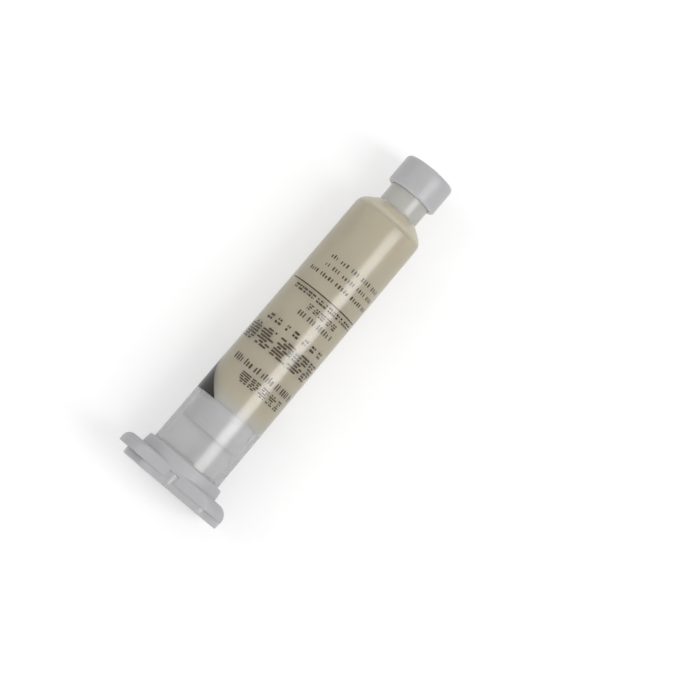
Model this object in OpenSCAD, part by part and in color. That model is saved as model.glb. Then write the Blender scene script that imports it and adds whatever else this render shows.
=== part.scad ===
// Filled flux syringe, lying down: a moulded barrel with finger ears and a luer-lock tip,
// full of paste between a piston and a tip cap, with an end cap over its open end.
// Every piece is drawn upright on its own axis, from the end cap's outer face at 0 towards
// the tip, and in_place() then lays the whole syringe on the flat sides of its flange.

/* [Barrel] */
// Outside diameter of the barrel next to its hub
barrel_od = 18.4; // [17.9:0.1:19.4]
// Outside diameter of the barrel at the shoulder, less by the moulding draft
barrel_tip_od = 17.8; // [17.5:0.1:18.4]
// Diameter of the bore that the piston slides in
bore_d = 15.9; // [15.1:0.1:16.2]
// Straight length of the bore, from the open face of the flange to the inner cone
bore_l = 76; // [50:1:100]
// Lead-in chamfer at the open mouth of the bore
mouth_chamfer = 0.4; // [0.2:0.1:0.7]

/* [Shoulder] */
// Angle between the shoulder's cone and the axis, in degrees
shoulder_angle = 55; // [45:1:65]
// Wall thickness of the shoulder, square to its surface
shoulder_wall = 1.5; // [1:0.1:1.8]
// Radius that rounds the barrel wall into the shoulder
shoulder_round = 3; // [1.5:0.1:3.5]

/* [Flange and hub] */
// Distance over the tips of the two finger ears
flange_span = 29.6; // [27:0.2:34]
// Distance across the two flat sides of the flange
flange_flats = 21.4; // [21.2:0.1:24]
// Thickness of the flange
flange_t = 3.1; // [2.4:0.1:4]
// Rounding of the ear at +Y on the side of the fingers
ear_round = 2; // [0.8:0.1:2.2]
// Rounding of the ear at -Y on the side of the fingers, which slopes more
low_ear_round = 2.8; // [2.2:0.1:2.9]
// Rounding of the flat sides' edge on the side of the fingers
flat_round = 1.1; // [0.5:0.1:1.6]
// Rounding of the flange's edge on its open face
flange_edge = 0.05; // [0.05:0.05:0.4]
// Step from the flange's flat sides in to the hub's root
hub_step = 0.1; // [0.05:0.05:0.4]
// Distance that the hub's surface leans inwards from its root to its rim
hub_lean = 0.3; // [0.1:0.05:0.4]
// Length of the hub past the flange
hub_l = 2.6; // [1.6:0.1:5]
// Rounding of the hub's rim
hub_round = 0.4; // [0.2:0.1:0.6]
// Fillet between the hub's end face and the barrel wall
hub_foot_round = 0.4; // [0.1:0.1:0.7]

/* [Luer lock tip] */
// Outside diameter of the lock collar
collar_od = 10.35; // [10:0.05:10.8]
// Inside diameter of the lock collar, over its thread
collar_id = 8.1; // [7.9:0.1:8.5]
// Length of the lock collar past the shoulder
collar_l = 8.75; // [8:0.05:12]
// Rounding of the collar's outer edge
collar_round = 0.2; // [0.1:0.05:0.4]
// Depth of the ring-shaped space between the collar and the nozzle
collar_depth = 6.6; // [5.5:0.1:7]
// Diameter of the nozzle at its open end
nozzle_tip_d = 3.95; // [3.9:0.05:4.1]
// Growth of the nozzle's diameter for each millimetre towards its root
nozzle_taper = 0.06; // [0.05:0.01:0.08]
// Reach of the nozzle past the end of the collar
nozzle_reach = 2; // [1:0.1:2.2]
// Rounding of the nozzle's open end
nozzle_round = 0.25; // [0.1:0.05:0.4]
// Diameter of the outlet through the nozzle
outlet_d = 2.2; // [1.6:0.1:2.6]
// Height of the collar's thread ridges
thread_h = 0.35; // [0.2:0.05:0.4]
// Width of a thread ridge
thread_w = 0.7; // [0.5:0.1:1]
// Distance between two thread ridges
thread_pitch = 1.9; // [1.5:0.1:2.5]

/* [Tip cap] */
// Outside diameter of the tip cap
tip_cap_od = 12.9; // [12.4:0.1:14]
// Length of the tip cap
tip_cap_l = 7.5; // [7:0.1:10]
// Thickness of the tip cap's end wall
tip_cap_end_t = 0.9; // [0.7:0.1:1.5]
// Rounding of the tip cap's outer end
tip_cap_round = 1; // [0.5:0.1:1.3]
// Rounding of the tip cap's rim
tip_cap_rim_round = 0.5; // [0.2:0.05:0.8]
// Distance that the tip cap leaves between its end wall and the nozzle
tip_cap_gap = 0.4; // [0.2:0.1:0.8]
// Gap all round between the tip cap's skirt and the collar
skirt_gap = 0.08; // [0.06:0.02:0.2]
// Depth of the socket that closes over the nozzle
socket_l = 6.2; // [4:0.1:6.4]
// Wall thickness of the socket
socket_wall = 0.95; // [0.7:0.05:1.1]
// Gap all round between the socket and the nozzle
socket_gap = 0.1; // [0.06:0.02:0.2]

/* [Piston] */
// Distance from the flange's open face to the back of the piston
piston_depth = 13.45; // [8:0.05:40]
// Length of the piston that lies along the bore
piston_l = 7; // [5.5:0.1:10]
// Width of each wiper lip
lip_w = 1.3; // [0.8:0.1:2]
// Depth of the waist between the wiper lips
waist_h = 0.15; // [0.1:0.05:0.7]
// Wall thickness of the piston
piston_wall = 1.5; // [0.9:0.1:1.8]
// Radius of the blunt end of the piston's nose
nose_r = 1.8; // [1.4:0.1:3]
// Gap all round between the piston's lips and the bore
piston_gap = 0.05; // [0.03:0.01:0.1]

/* [Flux paste] */
// Gap between the paste and the walls that hold it
paste_gap = 0.04; // [0.02:0.01:0.1]
// Gap between the paste and the piston's nose
paste_nose_gap = 0.1; // [0.05:0.05:0.3]
// Distance that the paste stops short of the nozzle's open end
paste_short = 0.3; // [0.1:0.1:1]

/* [End cap] */
// Length of the end cap's plate, along the ears
end_cap_l = 27; // [25:0.2:29.4]
// Distance that the plate stays inside each flat side of the flange
end_cap_inset = 0.1; // [0.05:0.05:0.8]
// Thickness of the end cap's plate
end_cap_t = 1.72; // [1.2:0.02:2.4]
// Distance that the plate sits off centre, which leaves one ear bare for a thumbnail
end_cap_shift = 1.2; // [0:0.1:1.2]
// Rounding of the plate's outer edge
end_cap_edge = 0.4; // [0.2:0.05:0.55]
// Rounding of the plate's edge against the flange
end_cap_seam_edge = 0.05; // [0.05:0.05:0.4]
// Gap between the end cap's plate and the flange
seat_gap = 0.03; // [0.02:0.01:0.1]
// Depth of the plug that reaches into the bore
plug_l = 3; // [2:0.1:5]
// Wall thickness of the plug
plug_wall = 1.1; // [0.8:0.1:1.6]
// Gap all round between the plug and the bore
plug_gap = 0.15; // [0.1:0.01:0.25]
// Width of each clip over the flange's flat sides
clip_w = 2.6; // [2:0.1:4.5]
// Thickness of each clip
clip_t = 1; // [0.8:0.1:1.3]
// Radius of a clip's round back
clip_back_r = 3; // [2.5:0.1:6]
// Gap round a clip in its notch
clip_gap = 0.05; // [0.05:0.05:0.3]

/* [Hidden] */
$fn = 96;
// Spare length of a cutting solid past the face that it cuts
cut = 1;
// Number of steps in a rounded corner of an outline
arc_steps = 8;

// Stations along the axis, from the end cap's outer face
flange_z = end_cap_t + seat_gap;
hub_z = flange_z + flange_t;
hub_end_z = hub_z + hub_l;
cone_z = flange_z + bore_l;
piston_z = flange_z + piston_depth;
nose_z = piston_z + piston_l;
// The outer shoulder lies shoulder_wall outside the inner cone
cone_tan = tan(shoulder_angle);
shoulder_shift = shoulder_wall / sin(shoulder_angle);
shoulder_z = cone_z + shoulder_shift - (barrel_tip_od - bore_d) / 2 / cone_tan;
neck_z = shoulder_z + (barrel_tip_od - collar_od) / 2 / cone_tan;
outlet_z = cone_z + (bore_d - outlet_d) / 2 / cone_tan;
collar_end_z = neck_z + collar_l;
collar_floor_z = collar_end_z - collar_depth;
nozzle_end_z = collar_end_z + nozzle_reach;
tip_cap_inner_z = nozzle_end_z + tip_cap_gap;
tip_cap_end_z = tip_cap_inner_z + tip_cap_end_t;
tip_cap_z = tip_cap_end_z - tip_cap_l;

// Sizes that follow from the pieces that they fit
hub_root_r = flange_flats / 2 - hub_step;
hub_rim_r = hub_root_r - hub_lean;
end_cap_w = flange_flats - 2 * end_cap_inset;
piston_r = bore_d / 2 - piston_gap;
plug_r = bore_d / 2 - plug_gap;
skirt_r = collar_od / 2 + skirt_gap;
hub_foot_r = min(hub_foot_round, hub_rim_r - hub_round - barrel_od / 2);
low_ear_r = min(low_ear_round, flange_t - flange_edge);
socket_mouth_z = tip_cap_inner_z - socket_l;
nose_l = (piston_r - lip_w * 0.2 - nose_r) / cone_tan;
notch_w = clip_w + 2 * clip_gap;
notch_l = flange_t - flat_round + clip_gap;
rest_h = flange_flats / 2;

// Points of a rounded corner: an arc of radius r about c, from angle a to angle b
function corner(c, r, a, b) = [for (i = [0 : arc_steps])
    let (t = a + (b - a) * i / arc_steps) [c[0] + r * cos(t), c[1] + r * sin(t)]];

// Diameter of the nozzle at station z
function nozzle_d_at(z) = nozzle_tip_d + nozzle_taper * (nozzle_end_z - z);

// Lays an upright piece down: its axis along +X, its ears along Y, its flange on the ground
module in_place() {
    translate([-tip_cap_end_z / 2, 0, rest_h]) rotate([0, 90, 0]) children();
}

// Turned body from an outline of [radius, station] points
module turned(points) {
    rotate_extrude() polygon(points);
}

// Disc with rounded edges, cut by two parallel flats that are rounded alike
module eared_plate(span, flats, z, t, low_round, ear_high_round, flat_high_round) {
    intersection() {
        turned(concat(
            [[0, z]],
            corner([span / 2 - low_round, z + low_round], low_round, -90, 0),
            corner([span / 2 - ear_high_round, z + t - ear_high_round], ear_high_round, 0, 90),
            [[0, z + t]]));
        rotate([90, 0, 0]) linear_extrude(span + 2 * cut, center = true)
            polygon(concat(
                corner([flats / 2 - low_round, z + low_round], low_round, -90, 0),
                corner([flats / 2 - flat_high_round, z + t - flat_high_round],
                       flat_high_round, 0, 90),
                corner([flat_high_round - flats / 2, z + t - flat_high_round],
                       flat_high_round, 90, 180),
                corner([low_round - flats / 2, z + low_round], low_round, 180, 270)));
    }
}

// Outside of the barrel from the flange to the end of the lock collar
module barrel_body() {
    turned(concat(
        [[0, flange_z + flange_edge], [hub_root_r, flange_z + flange_edge],
         [hub_root_r, hub_z]],
        corner([hub_rim_r - hub_round, hub_end_z - hub_round], hub_round, 0, 90),
        corner([barrel_od / 2 + hub_foot_r, hub_end_z + hub_foot_r], hub_foot_r, 270, 180),
        corner([barrel_tip_od / 2 - shoulder_round,
                shoulder_z - shoulder_round * tan(shoulder_angle / 2)],
               shoulder_round, 0, shoulder_angle),
        [[collar_od / 2, neck_z]],
        corner([collar_od / 2 - collar_round, collar_end_z - collar_round], collar_round, 0, 90),
        [[0, collar_end_z]]));
}

// Nozzle: a tapered tube with a rounded end, on the floor of the collar
module nozzle_body() {
    tip_r = nozzle_tip_d / 2;
    turned(concat(
        [[0, collar_floor_z], [nozzle_d_at(collar_floor_z) / 2, collar_floor_z]],
        corner([tip_r - nozzle_round, nozzle_end_z - nozzle_round], nozzle_round, 0, 90),
        [[0, nozzle_end_z]]));
}

// Ring to cut away, which leaves the ear at -Y with its larger rounding
module low_ear_cut() {
    ear_r = flange_span / 2;
    intersection() {
        turned(concat(
            [[ear_r + cut, hub_z - low_ear_r], [ear_r + cut, hub_z + cut],
             [ear_r - low_ear_r, hub_z + cut]],
            corner([ear_r - low_ear_r, hub_z - low_ear_r], low_ear_r, 90, 0)));
        translate([-ear_r - cut, -ear_r - cut, 0]) cube([2 * (ear_r + cut), ear_r + cut, hub_z + cut]);
    }
}

// Space between the collar and the nozzle, with its thread ridges left standing
module collar_space() {
    difference() {
        translate([0, 0, collar_floor_z])
            cylinder(d = collar_id, h = collar_depth + cut);
        translate([0, 0, collar_floor_z - cut])
            cylinder(d1 = nozzle_d_at(collar_floor_z - cut), d2 = nozzle_tip_d,
                     h = nozzle_end_z - collar_floor_z + cut);
        for (z = [collar_end_z - thread_w : -thread_pitch : collar_floor_z + thread_pitch])
            turned([[collar_id / 2 + cut, z + thread_w], [collar_id / 2, z + thread_w / 2],
                    [collar_id / 2 - thread_h, z + thread_w / 4],
                    [collar_id / 2 - thread_h, z - thread_w / 4],
                    [collar_id / 2, z - thread_w / 2], [collar_id / 2 + cut, z - thread_w]]);
    }
}

// Barrel: flange with two finger ears, hub, drafted wall, shoulder, lock collar and nozzle
module barrel() {
    color([0.8, 0.8, 0.82]) in_place() difference() {
        union() {
            eared_plate(flange_span, flange_flats, flange_z, flange_t,
                        flange_edge, ear_round, flat_round);
            barrel_body();
            nozzle_body();
        }
        low_ear_cut();
        // Bore, inner cone and outlet
        turned([[0, flange_z - cut], [bore_d / 2 + mouth_chamfer, flange_z - cut],
                [bore_d / 2 + mouth_chamfer, flange_z], [bore_d / 2, flange_z + mouth_chamfer],
                [bore_d / 2, cone_z], [outlet_d / 2, outlet_z],
                [outlet_d / 2, nozzle_end_z + cut], [0, nozzle_end_z + cut]]);
        collar_space();
        // Blind notches in the flat sides that the end cap's clips lie in
        for (side = [-1, 1])
            translate([side * flange_flats / 2, 0, flange_z + notch_l / 2 - cut / 2])
                cube([2 * (clip_t + clip_gap), notch_w, notch_l + cut], center = true);
    }
}

// Flux paste: fills the bore from the piston's nose to the outlet
module flux_paste() {
    r = bore_d / 2 - paste_gap;
    outlet_r = outlet_d / 2 - paste_gap;
    shift = paste_gap / sin(shoulder_angle);
    back_z = nose_z + paste_nose_gap;
    color([0.68, 0.64, 0.55]) in_place()
        turned([[0, back_z + nose_l], [nose_r, back_z + nose_l],
                [nose_r + nose_l * cone_tan, back_z], [r, back_z],
                [r, cone_z - shift + paste_gap / cone_tan],
                [outlet_r, outlet_z - shift + paste_gap / cone_tan],
                [outlet_r, nozzle_end_z - paste_short], [0, nozzle_end_z - paste_short]]);
}

// Piston: two wiper lips with a waist, a conical nose and a hollow back
module piston() {
    waist_r = piston_r - waist_h;
    hollow_r = waist_r - piston_wall;
    nose_root_r = nose_r + nose_l * cone_tan;
    inner_shift = piston_wall / sin(shoulder_angle);
    inner_root_z = nose_z - inner_shift + (nose_root_r - hollow_r) / cone_tan;
    color([0.86, 0.86, 0.88]) in_place() difference() {
        turned([[0, piston_z], [piston_r, piston_z], [piston_r, piston_z + lip_w],
                [waist_r, piston_z + lip_w + waist_h],
                [waist_r, nose_z - lip_w - waist_h], [piston_r, nose_z - lip_w],
                [piston_r, nose_z], [nose_root_r, nose_z],
                [nose_r, nose_z + nose_l], [0, nose_z + nose_l]]);
        turned([[0, piston_z - cut], [hollow_r, piston_z - cut], [hollow_r, inner_root_z],
                [nose_r, inner_root_z + (hollow_r - nose_r) / cone_tan],
                [0, inner_root_z + (hollow_r - nose_r) / cone_tan]]);
    }
}

// Tip cap: a skirt over the lock collar and a socket inside it that closes the nozzle
module tip_cap() {
    socket_r = nozzle_d_at(socket_mouth_z) / 2 + socket_gap;
    socket_end_r = nozzle_tip_d / 2 + socket_gap;
    color([0.86, 0.87, 0.89]) in_place() difference() {
        turned(concat(
            [[0, tip_cap_z]],
            corner([tip_cap_od / 2 - tip_cap_rim_round, tip_cap_z + tip_cap_rim_round],
                   tip_cap_rim_round, -90, 0),
            corner([tip_cap_od / 2 - tip_cap_round, tip_cap_end_z - tip_cap_round],
                   tip_cap_round, 0, 90),
            [[0, tip_cap_end_z]]));
        difference() {
            translate([0, 0, tip_cap_z - cut])
                cylinder(r = skirt_r, h = tip_cap_inner_z - tip_cap_z + cut);
            turned([[socket_r, socket_mouth_z], [socket_r + socket_wall, socket_mouth_z],
                    [socket_r + socket_wall, tip_cap_end_z], [socket_end_r, tip_cap_end_z],
                    [socket_end_r, tip_cap_inner_z]]);
        }
    }
}

// End cap: a plate over the flange, a plug in the bore and two clips in the flange's notches
module end_cap() {
    color([0.78, 0.78, 0.8]) in_place() {
        translate([0, -end_cap_shift, 0])
            eared_plate(end_cap_l, end_cap_w, 0, end_cap_t,
                        end_cap_edge, end_cap_seam_edge, end_cap_seam_edge);
        translate([0, 0, end_cap_t / 2]) difference() {
            cylinder(r = plug_r, h = end_cap_t / 2 + plug_l);
            translate([0, 0, end_cap_t / 2])
                cylinder(r = plug_r - plug_wall, h = plug_l + cut);
        }
        for (side = [0, 1]) mirror([side, 0, 0]) clip();
    }
}

// Clip: a bar with a round back that lies in one notch of the flange
module clip() {
    clip_l = end_cap_t / 2 + seat_gap + notch_l - clip_gap;
    translate([0, 0, end_cap_t / 2]) intersection() {
        translate([flange_flats / 2 - clip_t / 2, 0, clip_l / 2])
            cube([clip_t, clip_w, clip_l], center = true);
        translate([flange_flats / 2 - clip_back_r, 0, -cut])
            cylinder(r = clip_back_r, h = clip_l + 2 * cut);
    }
}

barrel();
flux_paste();
piston();
tip_cap();
end_cap();
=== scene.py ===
"""Looks of the filled flux syringe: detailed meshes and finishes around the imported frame."""
import math
import random

import bmesh
import bpy
from mathutils import Matrix, Vector


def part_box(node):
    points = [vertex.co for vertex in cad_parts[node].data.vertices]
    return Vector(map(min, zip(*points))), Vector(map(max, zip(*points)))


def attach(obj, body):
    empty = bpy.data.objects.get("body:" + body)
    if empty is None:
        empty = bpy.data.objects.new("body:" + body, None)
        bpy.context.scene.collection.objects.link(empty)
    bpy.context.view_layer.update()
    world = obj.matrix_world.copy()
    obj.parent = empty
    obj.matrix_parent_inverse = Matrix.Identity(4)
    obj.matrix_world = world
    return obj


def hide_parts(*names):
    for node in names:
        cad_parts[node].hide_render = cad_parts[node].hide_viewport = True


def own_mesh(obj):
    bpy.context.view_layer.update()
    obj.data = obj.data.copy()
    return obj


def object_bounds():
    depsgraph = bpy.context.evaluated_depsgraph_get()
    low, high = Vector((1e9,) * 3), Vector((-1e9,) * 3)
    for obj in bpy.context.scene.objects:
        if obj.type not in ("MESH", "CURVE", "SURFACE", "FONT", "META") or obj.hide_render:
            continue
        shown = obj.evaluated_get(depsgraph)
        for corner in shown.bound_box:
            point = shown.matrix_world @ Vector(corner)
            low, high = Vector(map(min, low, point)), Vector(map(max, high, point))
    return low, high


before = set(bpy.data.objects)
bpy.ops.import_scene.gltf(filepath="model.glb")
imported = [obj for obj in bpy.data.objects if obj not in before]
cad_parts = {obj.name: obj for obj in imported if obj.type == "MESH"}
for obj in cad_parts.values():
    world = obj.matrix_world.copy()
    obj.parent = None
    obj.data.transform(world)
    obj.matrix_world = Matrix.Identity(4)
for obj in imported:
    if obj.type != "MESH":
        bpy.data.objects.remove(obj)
CAD_LO, CAD_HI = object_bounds()

# Lengths below are in millimetres, as in the model's source, and stations run along the
# axis from the end cap's outer face towards the tip.
MM = 0.001
SIDES = 256  # points round each turned piece
ARC_STEPS = 6  # steps in a small rounded corner
EAR_STEPS = 18  # steps in the flange's large roundings
CLIP_STEPS = 12  # steps over a clip's back
SHARP_ANGLE = 40  # degrees between faces from which an edge is shaded sharp
NOISE_RANGE = 0.3, 0.7  # values between which nearly all of a noise lies

# Places that the frame gives
PISTON_LO, PISTON_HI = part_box("piston")
TIP_CAP_LO, TIP_CAP_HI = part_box("tip_cap")
AXIS_Z = (TIP_CAP_LO.z + TIP_CAP_HI.z) / 2


def station_of(x):
    """Station of a place x in the frame."""
    return (x - CAD_LO.x) / MM


# Flange and hub
FLANGE_S, FLANGE_T = 1.75, 3.1
EAR_R, FLAT_R = 14.8, 10.7
FLANGE_EDGE, EAR_ROUND, LOW_EAR_ROUND, FLAT_ROUND = 0.02, 2.0, 2.8, 1.1
NOTCH_W, NOTCH_DEPTH, NOTCH_L = 2.6, 1.0, 2.0
HUB_S = FLANGE_S + FLANGE_T
HUB_ROOT_R, HUB_RIM_R, HUB_L = 10.6, 10.3, 2.6
HUB_ROUND, HUB_FOOT_ROUND = 0.4, 0.25
HUB_END_S = HUB_S + HUB_L
# Barrel wall, bore and shoulder
WALL_R, WALL_TIP_R = 9.2, 8.9
BORE_R, MOUTH_CHAMFER = 7.95, 0.4
CONE_S = FLANGE_S + 76.0
CONE_ANGLE = math.radians(55)
CONE_TAN = math.tan(CONE_ANGLE)
SHOULDER_WALL, SHOULDER_ROUND = 1.5, 3.0
SHOULDER_S = CONE_S + SHOULDER_WALL / math.sin(CONE_ANGLE) - (WALL_TIP_R - BORE_R) / CONE_TAN
# Lock collar and nozzle
COLLAR_R, COLLAR_BORE_R = 5.175, 4.05
COLLAR_ROUND, COLLAR_MOUTH_ROUND = 0.2, 0.15
ROOT_ROUND = 0.3  # rounding in the neck, at the collar's floor and in the outlet
NECK_S = SHOULDER_S + (WALL_TIP_R - COLLAR_R) / CONE_TAN
COLLAR_END_S = NECK_S + 8.75
COLLAR_FLOOR_S = COLLAR_END_S - 6.6
THREAD_RIDGES, THREAD_PITCH, THREAD_W, THREAD_H, THREAD_ROUND = 3, 1.9, 0.7, 0.35, 0.06
NOZZLE_END_S = COLLAR_END_S + 2.0
NOZZLE_TIP_R, NOZZLE_TAPER, NOZZLE_ROUND = 1.975, 0.03, 0.25
OUTLET_R, OUTLET_ROUND = 1.1, 0.1
OUTLET_S = CONE_S + (BORE_R - OUTLET_R) / CONE_TAN
# Piston
PISTON_S = station_of(PISTON_LO.x)
NOSE_S = PISTON_S + 7.0
NOSE_END_S = station_of(PISTON_HI.x)
# Tip cap
TIP_CAP_S, TIP_CAP_END_S = station_of(TIP_CAP_LO.x), station_of(TIP_CAP_HI.x)
TIP_CAP_R = (TIP_CAP_HI.z - TIP_CAP_LO.z) / 2 / MM
# End cap's plate
END_CAP_T, END_CAP_SHIFT = 1.745, -1.2
END_CAP_LENGTH_R, END_CAP_WIDTH_R = 13.5, 10.6


# Mesh tools

def fillet_path(points):
    """Turns (station, radius, fillet) points into a path with rounded corners. Its ends have
    no fillet, and a fillet that would take about half of a side or more is made smaller."""
    most = 0.49  # largest share of a side that a fillet takes
    path = []
    for i, (s, r, fillet) in enumerate(points):
        if fillet <= 0:
            path.append((s, r))
            continue
        here = Vector((s, r))
        before = Vector(points[i - 1][:2]) - here
        after = Vector(points[i + 1][:2]) - here
        turn = math.pi - before.angle(after)
        tangent = min(fillet * math.tan(turn / 2), most * before.length, most * after.length)
        start = here + before.normalized() * tangent
        end = here + after.normalized() * tangent
        pull = math.cos(turn / 2)
        for k in range(ARC_STEPS + 1):
            t = k / ARC_STEPS
            shares = (1 - t) ** 2, 2 * pull * t * (1 - t), t * t
            point = (start * shares[0] + here * shares[1] + end * shares[2]) / sum(shares)
            path.append((point.x, point.y))
    return path


def place(s, r, angle):
    """Point in the frame at a station, a radius and an angle from the top towards -Y."""
    y, z = -r * math.sin(angle), r * math.cos(angle)
    return Vector((CAD_LO.x + s * MM, y * MM, AXIS_Z + z * MM))


def soft_min(a, b, softness=0.3):
    """The smaller of two lengths, with a small rounding where they are equal."""
    low = min(a, b)
    shares = math.exp((low - a) / softness) + math.exp((low - b) / softness)
    return low - softness * math.log(shares)


def eared_radius(angle, ear_r, flat_r, least_r):
    """Radius at an angle of a disc that is cut by two flats, at least least_r."""
    least_across = 0.1  # keeps the distance to a flat finite along the ears
    cut = flat_r / max(abs(math.cos(angle)), least_across)
    return max(soft_min(ear_r, cut), least_r)


def shifted(points, shift):
    """Points moved along Y by a length in millimetres."""
    return [p + Vector((0, shift * MM, 0)) for p in points]


def circle_ring(s, r):
    """Ring of points on a circle about the axis."""
    return [place(s, r, 2 * math.pi * k / SIDES) for k in range(SIDES)]


def eared_ring(s, ear_r, flat_r, least_r=0.0, low_ear_r=None):
    """Ring of points on the flange's outline; the ear at -Y may have a radius of its own."""
    low_ear_r = low_ear_r or ear_r
    angles = [2 * math.pi * k / SIDES for k in range(SIDES)]
    return [place(s, eared_radius(a, low_ear_r if a < math.pi else ear_r, flat_r, least_r), a)
            for a in angles]


def mesh_object(name, bm, sharp_angle=SHARP_ANGLE):
    """Makes an object of a bmesh, shaded smooth but for its sharp edges."""
    bmesh.ops.recalc_face_normals(bm, faces=bm.faces)
    mesh = bpy.data.meshes.new(name)
    bm.to_mesh(mesh)
    bm.free()
    mesh.shade_smooth()
    mesh.set_sharp_from_angle(angle=math.radians(sharp_angle))
    obj = bpy.data.objects.new(name, mesh)
    bpy.context.scene.collection.objects.link(obj)
    return obj


def skin(name, rings, closed=False):
    """Joins rings of points with quads. An open row of rings is closed by a fan at each end."""
    bm = bmesh.new()
    rows = [[bm.verts.new(p) for p in ring] for ring in rings]
    pairs = list(zip(rows, rows[1:])) + ([(rows[-1], rows[0])] if closed else [])
    for low, high in pairs:
        for k in range(SIDES):
            n = (k + 1) % SIDES
            bm.faces.new((low[k], low[n], high[n], high[k]))
    if not closed:
        for row in (rows[0], rows[-1]):
            centre = bm.verts.new(sum((v.co for v in row), Vector()) / SIDES)
            for k in range(SIDES):
                bm.faces.new((row[k], row[(k + 1) % SIDES], centre))
    return mesh_object(name, bm)


def turned(name, points):
    """Turned body from (station, radius, fillet) points."""
    return skin(name, [circle_ring(s, r) for s, r in fillet_path(points)])


def apply_boolean(obj, cutters, operation="DIFFERENCE"):
    """Cuts or joins other meshes into obj and removes them."""
    for cutter in cutters:
        modifier = obj.modifiers.new("cut", "BOOLEAN")
        modifier.operation = operation
        modifier.solver = "EXACT"
        modifier.object = cutter
    bpy.context.view_layer.update()
    evaluated = obj.evaluated_get(bpy.context.evaluated_depsgraph_get())
    mesh = bpy.data.meshes.new_from_object(evaluated)
    obj.modifiers.clear()
    obj.data = mesh
    mesh.set_sharp_from_angle(angle=math.radians(SHARP_ANGLE))
    for cutter in cutters:
        bpy.data.objects.remove(cutter)


def block(name, low, high):
    """Closed box between two corners in the frame, in metres."""
    bm = bmesh.new()
    bmesh.ops.create_cube(bm, size=1.0)
    size = Vector(high) - Vector(low)
    bmesh.ops.scale(bm, vec=size, verts=bm.verts)
    bmesh.ops.translate(bm, vec=(Vector(low) + Vector(high)) / 2, verts=bm.verts)
    return mesh_object(name, bm)


def finish_piece(obj, body, material, slot, *replaced):
    """Gives a piece its material and body, and hides the nodes that it stands for. The slot is not
    used.
    """
    obj.data.materials.clear()
    obj.data.materials.append(material)
    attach(obj, body)
    if replaced:
        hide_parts(*replaced)


# Material tools

def new_material(name):
    """A material with its node tree and shader."""
    material = bpy.data.materials.new(name)
    material.use_nodes = True
    tree = material.node_tree
    return material, tree, tree.nodes["Principled BSDF"]


def set_values(shader, **values):
    """Sets uniform values on the shader's own sockets."""
    for key, value in values.items():
        shader.inputs[key.replace("_", " ")].default_value = value


def noise(tree, scale, detail=3.0, stretch=(1, 1, 1)):
    """Noise over the object's own coordinates; stretch is the scale of each axis."""
    coordinates = tree.nodes.new("ShaderNodeTexCoord")
    mapping = tree.nodes.new("ShaderNodeMapping")
    mapping.inputs["Scale"].default_value = stretch
    texture = tree.nodes.new("ShaderNodeTexNoise")
    texture.inputs["Scale"].default_value = scale
    texture.inputs["Detail"].default_value = detail
    tree.links.new(coordinates.outputs["Object"], mapping.inputs["Vector"])
    tree.links.new(mapping.outputs["Vector"], texture.inputs["Vector"])
    return texture.outputs["Fac"]


def coordinate(tree, axis):
    """The object's own coordinate along X, Y or Z."""
    coordinates = tree.nodes.new("ShaderNodeTexCoord")
    parts = tree.nodes.new("ShaderNodeSeparateXYZ")
    tree.links.new(coordinates.outputs["Object"], parts.inputs["Vector"])
    return parts.outputs[axis]


def calculated(tree, operation, *values):
    """Result of a sum on sockets and plain numbers."""
    node = tree.nodes.new("ShaderNodeMath")
    node.operation = operation
    for socket, value in zip(node.inputs, values):
        if isinstance(value, (int, float)):
            socket.default_value = value
        else:
            tree.links.new(value, socket)
    return node.outputs[0]


def mapped(tree, value, start, end, before, after, smooth=False):
    """Value that goes from before to after while another one goes from start to end."""
    node = tree.nodes.new("ShaderNodeMapRange")
    node.interpolation_type = "SMOOTHSTEP" if smooth else "LINEAR"
    node.inputs["From Min"].default_value = start
    node.inputs["From Max"].default_value = end
    node.inputs["To Min"].default_value = before
    node.inputs["To Max"].default_value = after
    tree.links.new(value, node.inputs["Value"])
    return node.outputs["Result"]


def step_along(tree, start, end, before, after):
    """Value that goes smoothly from before to after between two stations."""
    start_x, end_x = CAD_LO.x + start * MM, CAD_LO.x + end * MM
    return mapped(tree, coordinate(tree, "X"), start_x, end_x, before, after, smooth=True)


def value_between(tree, factor, low, high):
    """Value that runs from low to high over a noise's usual range."""
    return mapped(tree, factor, *NOISE_RANGE, low, high)


def colour_between(tree, factor, low, high):
    """Colour that runs from low to high over a noise's usual range."""
    ramp = tree.nodes.new("ShaderNodeValToRGB")
    for element, position, colour in zip(ramp.color_ramp.elements, NOISE_RANGE, (low, high)):
        element.position = position
        element.color = (*colour, 1)
    tree.links.new(factor, ramp.inputs["Fac"])
    return ramp.outputs["Color"]


def mixed(tree, factor, first, second):
    """The first colour where the factor is 0 and the second where it is 1. The second is a
    socket or a plain colour."""
    mix = tree.nodes.new("ShaderNodeMix")
    mix.data_type = "RGBA"
    tree.links.new(factor, mix.inputs["Factor"])
    tree.links.new(first, mix.inputs["A"])
    if isinstance(second, tuple):
        mix.inputs["B"].default_value = (*second, 1)
    else:
        tree.links.new(second, mix.inputs["B"])
    return mix.outputs["Result"]


def pale_rim_and_painted_light(tree, colour, rim_s, width, rim_colour):
    """The colour, and a lighter one at the end that lies at rim_s. On the paste this is its paler
    colour near the piston; on the tip cap it is painted light that offsets the shade under the
    cap's rim.
    """
    return mixed(tree, step_along(tree, rim_s, rim_s + width, 1.0, 0.0), colour, rim_colour)


def polish_backs(tree, shader, height, coat):
    """Raises the coat above a height over the axis and below the same depth under it."""
    half_step = 0.03
    from_axis = calculated(tree, "SUBTRACT", coordinate(tree, "Z"), AXIS_Z)
    distance = calculated(tree, "ABSOLUTE", from_axis)
    weight = shader.inputs["Coat Weight"]
    raised = mapped(tree, distance, (height - half_step) * MM, (height + half_step) * MM,
                    weight.default_value, coat)
    tree.links.new(raised, weight)


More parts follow.
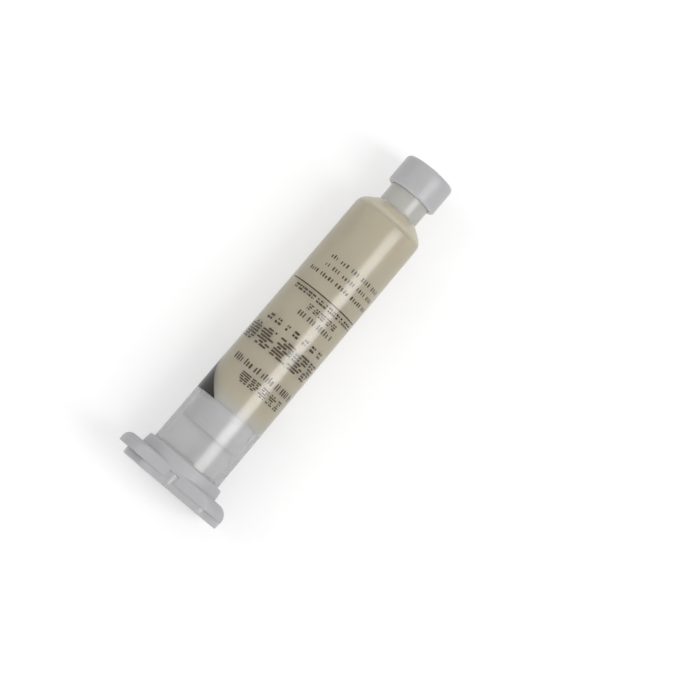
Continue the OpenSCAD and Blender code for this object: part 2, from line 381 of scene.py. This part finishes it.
def bump(tree, shader, height, depth):
    """Bumps the shader's normal by a height texture, depth in metres."""
    node = tree.nodes.new("ShaderNodeBump")
    node.inputs["Distance"].default_value = depth
    node.inputs["Strength"].default_value = 1.0
    tree.links.new(height, node.inputs["Height"])
    tree.links.new(node.outputs["Normal"], shader.inputs["Normal"])


# Materials

def barrel_plastic():
    """Milky polypropylene: light passes the thin wall and scatters in the thick ends. The
    paste inside gives the neck a warm tint."""
    foot = HUB_END_S - 0.2, HUB_END_S + 0.5  # where the hub turns into the thin wall
    neck = NECK_S - 1.3, NECK_S + 1.6  # where the thin wall turns into the collar
    collar_share = 0.15  # share of the thin wall's look that the collar keeps
    absorption = 145  # per metre
    material, tree, shader = new_material("barrel_plastic")
    cloud = noise(tree, 260, stretch=(0.4, 1, 1))
    thin = colour_between(tree, cloud, (0.968, 0.968, 0.968), (0.984, 0.984, 0.984))
    at_flange = colour_between(tree, cloud, (0.455, 0.455, 0.467), (0.475, 0.475, 0.487))
    at_collar = colour_between(tree, cloud, (0.460, 0.448, 0.405), (0.480, 0.468, 0.425))
    thick = mixed(tree, step_along(tree, SHOULDER_S, NECK_S, 0.0, 1.0), at_flange, at_collar)
    thin_share = calculated(tree, "MULTIPLY", step_along(tree, *foot, 0.0, 1.0),
                            step_along(tree, *neck, 1.0, collar_share))
    for key, result in (("Base Color", mixed(tree, thin_share, thick, thin)),
                        ("Roughness", step_along(tree, *foot, 0.5, 0.22)),
                        ("Transmission Weight", mapped(tree, thin_share, 0, 1, 0.1, 0.9)),
                        ("Subsurface Weight", mapped(tree, thin_share, 0, 1, 0.3, 0.0))):
        tree.links.new(result, shader.inputs[key])
    set_values(shader, IOR=1.49, Subsurface_Radius=(1, 1, 1), Subsurface_Scale=0.0008)
    inside = tree.nodes.new("ShaderNodeVolumeAbsorption")
    inside.inputs["Color"].default_value = (0, 0, 0, 1)
    inside.inputs["Density"].default_value = absorption
    tree.links.new(inside.outputs["Volume"], tree.nodes["Material Output"].inputs["Volume"])
    return material


def milky_plastic(name, low, high, roughness, transmission, coat, subsurface, reach,
                  rim_s=None, polished_from=None):
    """Polyethylene of a cap or the piston, with a faint cloudiness in it. It may have light
    painted on at a rim, a lighter colour that offsets the shade there, and it is glossier from a
    height over the axis on."""
    material, tree, shader = new_material(name)
    cloud = noise(tree, 420, detail=4.0)
    colour = colour_between(tree, cloud, low, high)
    if rim_s is not None:
        # painted light: the rim gets a lighter colour that offsets the shade under it
        colour = pale_rim_and_painted_light(tree, colour, rim_s, width=0.5, rim_colour=(0.62, 0.62, 0.63))
    tree.links.new(colour, shader.inputs["Base Color"])
    tree.links.new(value_between(tree, cloud, roughness * 0.9, roughness * 1.1),
                   shader.inputs["Roughness"])
    set_values(shader, IOR=1.5, Transmission_Weight=transmission, Coat_Weight=coat,
               Coat_Roughness=0.16, Coat_IOR=1.5, Subsurface_Weight=subsurface,
               Subsurface_Radius=(1, 1, 1), Subsurface_Scale=reach)
    if polished_from is not None:
        polish_backs(tree, shader, polished_from, coat=0.5)
    bump(tree, shader, noise(tree, 1500), depth=6e-6)
    return material


def paste_material(name, low, high):
    """Smooth resin flux paste with faint streaks from the filling, paler near the piston."""
    material, tree, shader = new_material(name)
    streaks = noise(tree, 180, detail=5.0, stretch=(0.35, 1, 1))
    colour = pale_rim_and_painted_light(tree, colour_between(tree, streaks, low, high), NOSE_S, width=4.5,
                     rim_colour=(0.88, 0.84, 0.74))
    tree.links.new(colour, shader.inputs["Base Color"])
    tree.links.new(value_between(tree, streaks, 0.4, 0.55), shader.inputs["Roughness"])
    set_values(shader, IOR=1.46, Subsurface_Weight=0.15, Subsurface_Radius=(1, 0.9, 0.7),
               Subsurface_Scale=0.002)
    bump(tree, shader, noise(tree, 300, detail=4.0), depth=3e-5)
    return material


def ink_material(name, low, high, ior):
    """Brown print with thin spots in it."""
    material, tree, shader = new_material(name)
    spots = noise(tree, 2600)
    tree.links.new(colour_between(tree, spots, low, high), shader.inputs["Base Color"])
    tree.links.new(value_between(tree, spots, 0.16, 0.22), shader.inputs["Roughness"])
    set_values(shader, IOR=ior)
    return material


# Barrel

def round_inset(s, radius):
    """Distance that a rounding of the flange's finger side lies inside its edge at a station."""
    part = max(0.0, s - (HUB_S - radius))
    return radius - math.sqrt(max(0.0, radius ** 2 - part ** 2))


def flange_rings():
    """Rings of the flange from its open face to its finger side."""
    rings = []
    for k in range(ARC_STEPS + 1):
        angle = math.pi / 2 * k / ARC_STEPS
        inset = FLANGE_EDGE * (1 - math.sin(angle))
        s = FLANGE_S + FLANGE_EDGE * (1 - math.cos(angle))
        rings.append(eared_ring(s, EAR_R - inset, FLAT_R - inset))
    for k in range(EAR_STEPS + 1):
        s = HUB_S - LOW_EAR_ROUND * (1 - math.sin(math.pi / 2 * k / EAR_STEPS))
        rings.append(eared_ring(s, EAR_R - round_inset(s, EAR_ROUND),
                                FLAT_R - round_inset(s, FLAT_ROUND), HUB_ROOT_R,
                                EAR_R - round_inset(s, LOW_EAR_ROUND)))
    return rings


def wall_r_at(s):
    """Radius of the barrel's outside at a station."""
    share = (s - HUB_END_S) / (SHOULDER_S - HUB_END_S)
    return WALL_R + (WALL_TIP_R - WALL_R) * share


def nozzle_r_at(s):
    """Radius of the nozzle's outside at a station."""
    return NOZZLE_TIP_R + NOZZLE_TAPER * (NOZZLE_END_S - s)


def outside_points():
    """Outline over the hub, the wall, the shoulder and the collar."""
    wall_s, wall_end_s = HUB_END_S + 1, SHOULDER_S - 4
    return [(HUB_S + 0.05, HUB_ROOT_R, 0), (HUB_END_S, HUB_RIM_R, HUB_ROUND),
            (HUB_END_S, WALL_R, HUB_FOOT_ROUND), (wall_s, wall_r_at(wall_s), 0),
            (wall_end_s, wall_r_at(wall_end_s), 0), (SHOULDER_S, WALL_TIP_R, SHOULDER_ROUND),
            (NECK_S, COLLAR_R, ROOT_ROUND), (NECK_S + 1, COLLAR_R, 0),
            (COLLAR_END_S - 0.6, COLLAR_R, 0), (COLLAR_END_S, COLLAR_R, COLLAR_ROUND)]


def thread_points():
    """Ridges inside the lock collar, from its mouth inwards."""
    points = []
    crest_r = COLLAR_BORE_R - THREAD_H
    for k in range(THREAD_RIDGES):
        s = COLLAR_END_S - THREAD_W - THREAD_PITCH * k
        points += [(s + THREAD_W / 2, COLLAR_BORE_R, 0), (s + THREAD_W / 4, crest_r, THREAD_ROUND),
                   (s - THREAD_W / 4, crest_r, THREAD_ROUND), (s - THREAD_W / 2, COLLAR_BORE_R, 0)]
    return points


def collar_points():
    """Outline from the collar's mouth over its thread and its floor to the nozzle's root."""
    return [(COLLAR_END_S, COLLAR_BORE_R, COLLAR_MOUTH_ROUND), *thread_points(),
            (COLLAR_FLOOR_S, COLLAR_BORE_R, ROOT_ROUND),
            (COLLAR_FLOOR_S, nozzle_r_at(COLLAR_FLOOR_S), ROOT_ROUND)]


def nozzle_points():
    """Outline over the nozzle's end and back through its outlet."""
    near_end_s = NOZZLE_END_S - 0.5
    return [(near_end_s, nozzle_r_at(near_end_s), 0), (NOZZLE_END_S, NOZZLE_TIP_R, NOZZLE_ROUND),
            (NOZZLE_END_S, OUTLET_R, OUTLET_ROUND), (near_end_s, OUTLET_R, 0),
            (OUTLET_S, OUTLET_R, ROOT_ROUND)]


def bore_points():
    """Outline from the bore's cone back to its chamfered mouth."""
    mouth_s = FLANGE_S + MOUTH_CHAMFER
    return [(CONE_S, BORE_R, 0.5), (CONE_S - 1, BORE_R, 0), (mouth_s + 0.8, BORE_R, 0),
            (mouth_s, BORE_R, 0.1), (FLANGE_S, BORE_R + MOUTH_CHAMFER, 0)]


def cut_notches(barrel):
    """Cuts the notches for the end cap's clips in the flange's flat sides."""
    past = 1.0  # how far a cutting block stands out of the flange
    start_x = CAD_LO.x + FLANGE_S * MM
    floor_r, top_r = FLAT_R - NOTCH_DEPTH, FLAT_R + past
    notches = []
    for side in (-1, 1):
        low_z, high_z = sorted(AXIS_Z + side * r * MM for r in (floor_r, top_r))
        notches.append(block("notch", (start_x - past * MM, -NOTCH_W / 2 * MM, low_z),
                             (start_x + NOTCH_L * MM, NOTCH_W / 2 * MM, high_z)))
    apply_boolean(barrel, notches)


def make_barrel(material):
    """The whole barrel as one closed skin, inside and out, with its notches cut."""
    outline = outside_points() + collar_points() + nozzle_points() + bore_points()
    rings = flange_rings() + [circle_ring(s, r) for s, r in fillet_path(outline)]
    barrel = skin("barrel_shell", rings, closed=True)
    cut_notches(barrel)
    finish_piece(barrel, "barrel", material, "barrel_plastic", "barrel")


# Contents

def make_paste(material, tip_material):
    """The paste in the bore, which shortens as the piston comes, and the rest at the tip. The rest
    at the tip has a lighter copy of the paste's colours, painted light that offsets the shade of
    the thick shoulder over it.
    """
    wet = 0.02  # how far the paste's skin lies inside the plastic
    skin_r, stem_r = BORE_R + wet, OUTLET_R + wet
    start_s, tip_s = NOSE_S + 0.05, CONE_S + 0.01
    bore = turned("paste_in_bore", [
        (start_s, 0.5, 0), (start_s, skin_r, 0.1), (NOSE_S + 1, skin_r, 0),
        (CONE_S - 1, skin_r, 0), (CONE_S, skin_r, 0), (CONE_S, 0.5, 0)])
    tip = turned("paste_at_tip", [
        (tip_s, 6.5, 0), (tip_s, skin_r, 0.05), (SHOULDER_S - 0.2, 8.45, 0.64),
        (NECK_S - 0.1, COLLAR_R - 0.25, 0.5), (NECK_S + 1.0, COLLAR_R - 0.9, 0.4),
        (NECK_S + 1.3, stem_r, 0.3), (NOZZLE_END_S - 0.3, stem_r, 0.3),
        (NOZZLE_END_S - 0.2, 0.3, 0)])
    finish_piece(bore, "barrel", material, "paste", "flux_paste")
    finish_piece(tip, "barrel", tip_material, "paste")
    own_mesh(bore)


def make_piston(material):
    """Piston with two wiper lips, a conical nose and a hollow back."""
    wall, lip_w, slope_w, chamfer = 1.5, 1.3, 0.45, 0.3
    edge_round, waist_round = 0.15, 0.2
    lip_r = BORE_R - 0.05
    waist_r = lip_r - 0.15
    hollow_r, nose_r = waist_r - wall, 1.8
    waist_s, waist_end_s = PISTON_S + lip_w + slope_w, NOSE_S - lip_w - slope_w
    nose_root_r = nose_r + (NOSE_END_S - NOSE_S) * CONE_TAN
    inner_root_s = NOSE_S - wall / math.sin(CONE_ANGLE) + (nose_root_r - hollow_r) / CONE_TAN
    inner_end_s = inner_root_s + (hollow_r - nose_r) / CONE_TAN
    piston = turned("piston_body", [
        (inner_end_s, 0.4, 0), (inner_end_s, nose_r, 0.4), (inner_root_s, hollow_r, 0.6),
        (PISTON_S + 2 * chamfer, hollow_r, 0), (PISTON_S, hollow_r + chamfer, 0.1),
        (PISTON_S, lip_r, edge_round), (PISTON_S + lip_w, lip_r, waist_round),
        (waist_s, waist_r, waist_round), (waist_end_s, waist_r, waist_round),
        (NOSE_S - lip_w, lip_r, waist_round), (NOSE_S, lip_r, edge_round),
        (NOSE_S, nose_root_r, 0.1), (NOSE_END_S, nose_r, 0.5), (NOSE_END_S, 0.4, 0)])
    finish_piece(piston, "piston", material, "piston_plastic", "piston")


# Caps

def make_tip_cap(material):
    """Tip cap: skirt, end wall and the socket over the nozzle."""
    skirt_r = COLLAR_R + 0.03
    rim_round, end_round = 0.59, 1.0
    socket_l, socket_wall, socket_gap, socket_round = 6.2, 0.95, 0.1, 0.15
    inner_s = NOZZLE_END_S + 0.4
    mouth_s = inner_s - socket_l
    socket_r, socket_end_r = nozzle_r_at(mouth_s) + socket_gap, NOZZLE_TIP_R + socket_gap
    outer_r = socket_r + socket_wall
    cap = turned("tip_cap_body", [
        (inner_s, 0.3, 0), (inner_s, socket_end_r, socket_round),
        (mouth_s, socket_r, socket_round), (mouth_s, outer_r, 0.2), (inner_s, outer_r, 0.2),
        (inner_s, skirt_r, 0.3), (TIP_CAP_S + 0.3, skirt_r, 0), (TIP_CAP_S, skirt_r, 0.05),
        (TIP_CAP_S, TIP_CAP_R, rim_round), (TIP_CAP_S + 1.2, TIP_CAP_R, 0),
        (TIP_CAP_END_S - 2, TIP_CAP_R, 0), (TIP_CAP_END_S, TIP_CAP_R, end_round),
        (TIP_CAP_END_S, TIP_CAP_R - 3, 0), (TIP_CAP_END_S, 0.3, 0)])
    finish_piece(cap, "tip_cap", material, "cap_plastic", "tip_cap")


def plate_rings():
    """Rings of the end cap's plate, with a rounded outer edge and a fine one at the seam."""
    outer_edge, seam_edge = 0.4, 0.02
    rings = []
    for outer, edge in ((True, outer_edge), (False, seam_edge)):
        for k in range(ARC_STEPS + 1):
            angle = math.pi / 2 * (k if outer else ARC_STEPS - k) / ARC_STEPS
            inset = edge * (1 - math.sin(angle))
            depth = edge * (1 - math.cos(angle))
            s = depth if outer else END_CAP_T - depth
            ring = eared_ring(s, END_CAP_LENGTH_R - inset, END_CAP_WIDTH_R - inset)
            rings.append(shifted(ring, END_CAP_SHIFT))
    return rings


def make_end_cap(material):
    """End cap: plate over the flange, plug in the bore and two clips."""
    plug_r, plug_l, plug_wall, chamfer = BORE_R - 0.15, 3, 1.1, 0.2
    plug_end_s, plug_inner_r = END_CAP_T + plug_l, plug_r - plug_wall
    plug = fillet_path([
        (END_CAP_T, plug_r + chamfer, 0), (END_CAP_T + chamfer, plug_r, 0.2),
        (plug_end_s, plug_r, 0.35), (plug_end_s, plug_inner_r, 0.2),
        (END_CAP_T, plug_inner_r, 0.4), (END_CAP_T, 2, 0)])
    cap = skin("end_cap_body", plate_rings() + [circle_ring(s, r) for s, r in plug])
    apply_boolean(cap, [make_clip(side) for side in (-1, 1)], "UNION")
    finish_piece(cap, "end_cap", material, "end_cap_plastic", "end_cap")


def make_clip(side):
    """Bar with a low rounded ridge on its back. It is a little larger than its notch in the
    flange, so that no gap shows."""
    overlap = 0.01
    half_w, floor_r = NOTCH_W / 2 + overlap, FLAT_R - NOTCH_DEPTH - 2 * overlap
    start_s, end_s, end_chamfer = 0.86, FLANGE_S + NOTCH_L + overlap, 0.15
    ridge_r, half_angle = 1.2, math.radians(28)
    back_r = FLAT_R - ridge_r * (1 - math.cos(half_angle))
    bm = bmesh.new()
    loops = []
    for s, inset in ((start_s, 0.0), (end_s - end_chamfer, 0.0), (end_s, end_chamfer)):
        outline = [(-half_w + inset, back_r - inset)]
        for k in range(CLIP_STEPS + 1):
            a = half_angle * (2 * k / CLIP_STEPS - 1)
            outline.append((ridge_r * math.sin(a), FLAT_R - inset - ridge_r * (1 - math.cos(a))))
        outline += [(half_w - inset, back_r - inset), (half_w - inset, floor_r),
                    (-half_w + inset, floor_r)]
        loops.append([bm.verts.new((CAD_LO.x + s * MM, y * MM, AXIS_Z + side * z * MM))
                      for y, z in outline])
    count = len(loops[0])
    for low, high in zip(loops, loops[1:]):
        for k in range(count):
            n = (k + 1) % count
            bm.faces.new((low[k], low[n], high[n], high[k]))
    bm.faces.new(loops[0])
    bm.faces.new(loops[-1])
    return mesh_object("clip", bm)


# Print

def add_patch(bm, outline):
    """Adds a thin curved patch. Its outline gives the angles in degrees at each station."""
    lift, sunk, step_degrees = 0.012, 0.01, 2.5
    widest = max(high - low for s, low, high in outline)
    steps = max(2, int(widest / step_degrees))
    rows = []
    for s, low, high in outline:
        row = []
        for k in range(steps + 1):
            angle = math.radians(low + (high - low) * k / steps)
            row.append((bm.verts.new(place(s, wall_r_at(s) + lift, angle)),
                        bm.verts.new(place(s, wall_r_at(s) - sunk, angle))))
        rows.append(row)
    for low, high in zip(rows, rows[1:]):
        for k in range(steps):
            bm.faces.new((low[k][0], low[k + 1][0], high[k + 1][0], high[k][0]))
            bm.faces.new((high[k][1], high[k + 1][1], low[k + 1][1], low[k][1]))
        for k in (0, steps):
            bm.faces.new((low[k][0], high[k][0], high[k][1], low[k][1]))
    for row in (rows[0], rows[-1]):
        for k in range(steps):
            bm.faces.new((row[k][0], row[k][1], row[k + 1][1], row[k + 1][0]))


def add_bar(bm, s0, s1, low, high):
    """Adds a bar with cut corners between two stations and two angles."""
    cut_share, widest = 0.12, 2.0
    cut = cut_share * min(s1 - s0, widest)
    angle_cut = math.degrees(cut / WALL_R)
    add_patch(bm, [(s0, low + angle_cut, high - angle_cut), (s0 + cut, low, high),
                   (s1 - cut, low, high), (s1, low + angle_cut, high - angle_cut)])


def add_cell(bm, rng, s0, s1, low, high, strokes):
    """Adds a block of thin bars side by side, of uneven length and some of them split."""
    first, thickness = 0.18, 0.64  # shares of the pitch
    shorter = 0, 0, 0.12, 0.3  # shares of the length that a bar may lack at an end
    split_chance, half_space = 0.55, 0.07
    pitch = (s1 - s0) / strokes
    for k in range(strokes):
        start = s0 + pitch * (k + first)
        end = start + thickness * pitch
        left = low + (high - low) * rng.choice(shorter)
        right = high - (high - low) * rng.choice(shorter)
        if rng.random() < split_chance:
            split = left + (right - left) * rng.uniform(0.3, 0.7)
            space = half_space * (high - low)
            add_bar(bm, start, end, left, split - space)
            add_bar(bm, start, end, split + space, right)
        else:
            add_bar(bm, start, end, left, right)


def add_row(bm, rng, s0, s1, low, high, widths, gap, strokes):
    """Adds a row of bars or blocks of bars round the barrel, in place of words."""
    group = 2, 5  # fewest and most bars in a group
    group_gap = 2.6  # space after a group of single bars, in gaps
    angle = low
    left_in_group = rng.randint(*group)
    while angle < high:
        end = min(angle + rng.uniform(*widths), high)
        if end - angle > 0.5 * widths[0]:
            if strokes > 1:
                add_cell(bm, rng, s0, s1, angle, end, strokes)
            else:
                add_bar(bm, s0, s1 - rng.choice((0, 0, 0.25)) * (s1 - s0), angle, end)
        left_in_group -= 1
        wide = left_in_group == 0
        if wide:
            left_in_group = rng.randint(*group)
        angle = end + gap * (group_gap if wide and strokes == 1 else rng.uniform(0.9, 1.2))


def add_triangle(bm, s0, s1, middle, half):
    """Adds a triangle with its base at s0 and its point at s1."""
    count = 48
    rows = []
    for k in range(count):
        share = k / count
        width = half * (1 - share)
        rows.append((s0 + (s1 - s0) * share, middle - width, middle + width))
    add_patch(bm, rows)


def make_corner_field(material):
    """Dark field in a corner of the print."""
    bm = bmesh.new()
    add_triangle(bm, 22.1, 39.0, middle=-150, half=123.5)
    field = mesh_object("print_field", bm, sharp_angle=60)
    finish_piece(field, "barrel", material, "barrel_plastic")


def make_print(material):
    """Generic print: rows of plain bars and a rule."""
    rng = random.Random(7)
    bm = bmesh.new()
    # Stations and angles of a row's edges, narrowest and widest bar, gap, bars in a block
    rows = (
        (28.6, 31.2, -21, 62, (13, 16), 2.6, 5),
        (32.1, 33.9, -50, 76, (1.7, 3.4), 2.3, 1),
        (37.5, 42.4, -75, 74, (25, 29), 4.0, 7),
        (43.7, 45.5, -52, 62, (9, 12), 6.0, 2),
        (48.4, 49.8, -15, 52, (1.6, 3.2), 2.4, 1),
        (50.6, 52.2, -11, 46, (9, 11), 1.8, 3),
        (53.0, 54.4, -50, 76, (6, 9), 0.8, 2),
        (58.5, 59.5, -50, 74, (1.4, 3.2), 2.5, 1),
        (60.9, 61.9, -31, 70, (1.2, 2.8), 2.8, 1),
        (63.2, 64.3, -32, 72, (1.2, 2.8), 2.9, 1))
    for row in rows:
        add_row(bm, rng, *row)
    rule = 54.95, 55.27, -68, 76
    add_bar(bm, *rule)
    ink = mesh_object("print_marks", bm, sharp_angle=60)
    finish_piece(ink, "barrel", material, "barrel_plastic")


# Stage, light and camera

WORLD_LIGHT = 0.70  # strength of the surroundings as a light
FLOOR_GLOW = 0.42  # brightness that is added to the floor where it is seen
LIGHT_DISTANCE = 0.8  # metres from a softbox to the syringe
KEY_RADIANCE = 7.1  # brightness of the softbox on the right, where 1 is white
CORE_RADIANCE = 2.8  # brightness that the softbox has more in its middle, where it is mirrored
FILL_RADIANCE = 1.4  # brightness of the softbox on the left


def seen_rays(tree):
    """1 for rays of the camera and for rays that a mirror or glass passes on, else 0."""
    path = tree.nodes.new("ShaderNodeLightPath")
    result = path.outputs["Is Camera Ray"]
    for name in ("Is Glossy Ray", "Is Transmission Ray"):
        result = calculated(tree, "MAXIMUM", result, path.outputs[name])
    return result


def make_floor():
    """Pale floor that looks white where it is lit and keeps the object's shadow."""
    half_size, below = 3.0, 0.00002  # metres
    bm = bmesh.new()
    bmesh.ops.create_grid(bm, x_segments=1, y_segments=1, size=half_size)
    floor = mesh_object("floor", bm)
    floor.location.z = -below
    material, tree, shader = new_material("floor_paint")
    grain = noise(tree, 40)
    tree.links.new(colour_between(tree, grain, (0.59, 0.59, 0.59), (0.61, 0.61, 0.61)),
                   shader.inputs["Base Color"])
    set_values(shader, Roughness=0.9, Specular_IOR_Level=0.1)
    glow = tree.nodes.new("ShaderNodeEmission")
    glow.inputs["Color"].default_value = (1, 1, 1, 1)
    tree.links.new(calculated(tree, "MULTIPLY", seen_rays(tree), FLOOR_GLOW),
                   glow.inputs["Strength"])
    both = tree.nodes.new("ShaderNodeAddShader")
    tree.links.new(shader.outputs["BSDF"], both.inputs[0])
    tree.links.new(glow.outputs["Emission"], both.inputs[1])
    tree.links.new(both.outputs["Shader"], tree.nodes["Material Output"].inputs["Surface"])
    floor.data.materials.append(material)


def make_world():
    """Even studio surroundings, white where they are seen or mirrored."""
    world = bpy.data.worlds.new("studio")
    bpy.context.scene.world = world
    world.use_nodes = True
    tree = world.node_tree
    background = tree.nodes["Background"]
    background.inputs["Color"].default_value = (1, 1, 1, 1)
    tree.links.new(mapped(tree, seen_rays(tree), 0, 1, WORLD_LIGHT, 1.0),
                   background.inputs["Strength"])


def make_area_light(name, direction, size_x, size_y, radiance, mirrored=True, lights=True):
    """Softbox that faces the syringe from a direction; radiance 1 is white. Only a mirrored
    one shows in a gloss, and one that doesn't light shows nowhere else."""
    data = bpy.data.lights.new(name, "AREA")
    data.shape = "RECTANGLE"
    data.size = size_x
    data.size_y = size_y
    data.energy = radiance * math.pi * size_x * size_y
    light = bpy.data.objects.new(name, data)
    bpy.context.scene.collection.objects.link(light)
    back = Vector(direction).normalized()
    along = Vector((1, 0, 0))
    up = back.cross(along).normalized()
    side = up.cross(back)
    turn = Matrix((side, up, back)).transposed().to_4x4()
    centre = Vector((0, 0, AXIS_Z))
    light.matrix_world = Matrix.Translation(centre + back * LIGHT_DISTANCE) @ turn
    light.visible_transmission = False
    light.visible_glossy = mirrored
    light.visible_diffuse = lights


def make_lights():
    """A softbox to the right, brighter in its middle, and a weak one to the left. The right
    one stands a little nearer to the tip, which places the highlight."""
    key_angle, fill_angle = math.radians(40), math.radians(50)
    key_y, key_z = -math.sin(key_angle), math.cos(key_angle)
    make_area_light("key", (0.08, key_y, key_z), 0.23, 0.47, KEY_RADIANCE)
    make_area_light("key_core", (0.054, key_y, key_z), 0.1, 0.4, CORE_RADIANCE, lights=False)
    make_area_light("fill", (0, math.sin(fill_angle), math.cos(fill_angle)), 0.5, 0.5,
                    FILL_RADIANCE, mirrored=False)


def make_camera():
    """Looks down on the syringe as the photograph does, in a frame of 700 by 700 pixels."""
    frame_px, focal_px, mm_per_px = 700, 2600, 0.22618
    middle_px = Vector((298.84, 328.76))  # where the middle of the syringe's axis shows
    tilt, turn = math.radians(4.9), math.radians(49.835)
    sensor_mm = 36
    out = Vector((-math.sin(tilt), 0, math.cos(tilt))).normalized()
    along = (Vector((1, 0, 0)) - out * out.x).normalized()
    across = out.cross(along)
    right = math.cos(turn) * along - math.sin(turn) * across
    up = math.sin(turn) * along + math.cos(turn) * across
    distance = focal_px * mm_per_px * MM
    offset = right * (middle_px.x - frame_px / 2) - up * (middle_px.y - frame_px / 2)
    centre = Vector((0, 0, AXIS_Z)) + out * distance - offset * mm_per_px * MM
    data = bpy.data.cameras.new("camera")
    data.sensor_width = sensor_mm
    data.lens = sensor_mm * focal_px / frame_px
    data.clip_start = 0.01
    data.dof.use_dof = False
    camera = bpy.data.objects.new("camera", data)
    bpy.context.scene.collection.objects.link(camera)
    axes = Matrix((right, up, out)).transposed().to_4x4()
    camera.matrix_world = Matrix.Translation(centre) @ axes
    bpy.context.scene.camera = camera


def main():
    """Builds every piece, the stage, the lights and the camera."""
    make_barrel(barrel_plastic())
    # the paste at the tip gets a lighter copy of the colours: painted light against the shade of
    # the thick shoulder
    make_paste(paste_material("flux_paste", (0.84, 0.73, 0.46), (0.88, 0.77, 0.50)),
               paste_material("flux_paste_tip", (0.85, 0.76, 0.54), (0.89, 0.80, 0.58)))
    make_piston(milky_plastic(
        "piston_white", (0.92, 0.92, 0.93), (0.95, 0.95, 0.96), roughness=0.4,
        transmission=0.0, coat=0.0, subsurface=0.2, reach=0.004))
    # the tip cap's rim gets painted light that offsets the shade under it
    make_tip_cap(milky_plastic(
        "cap_milky", (0.47, 0.47, 0.478), (0.49, 0.49, 0.498), roughness=0.38,
        transmission=0.1, coat=0.1, subsurface=0.6, reach=0.0012, rim_s=TIP_CAP_S))
    make_end_cap(milky_plastic(
        "end_cap_milky", (0.45, 0.45, 0.458), (0.47, 0.47, 0.478), roughness=0.38,
        transmission=0.1, coat=0.1, subsurface=0.6, reach=0.0012, polished_from=FLAT_R - 0.15))
    make_corner_field(ink_material("ink_field", (0.010, 0.008, 0.005), (0.024, 0.018, 0.011),
                                   ior=1.4))
    make_print(ink_material("ink_marks", (0.038, 0.022, 0.005), (0.060, 0.036, 0.010), ior=1.5))
    make_floor()
    make_world()
    make_lights()
    make_camera()
    bpy.context.scene.view_settings.view_transform = "Standard"


main()
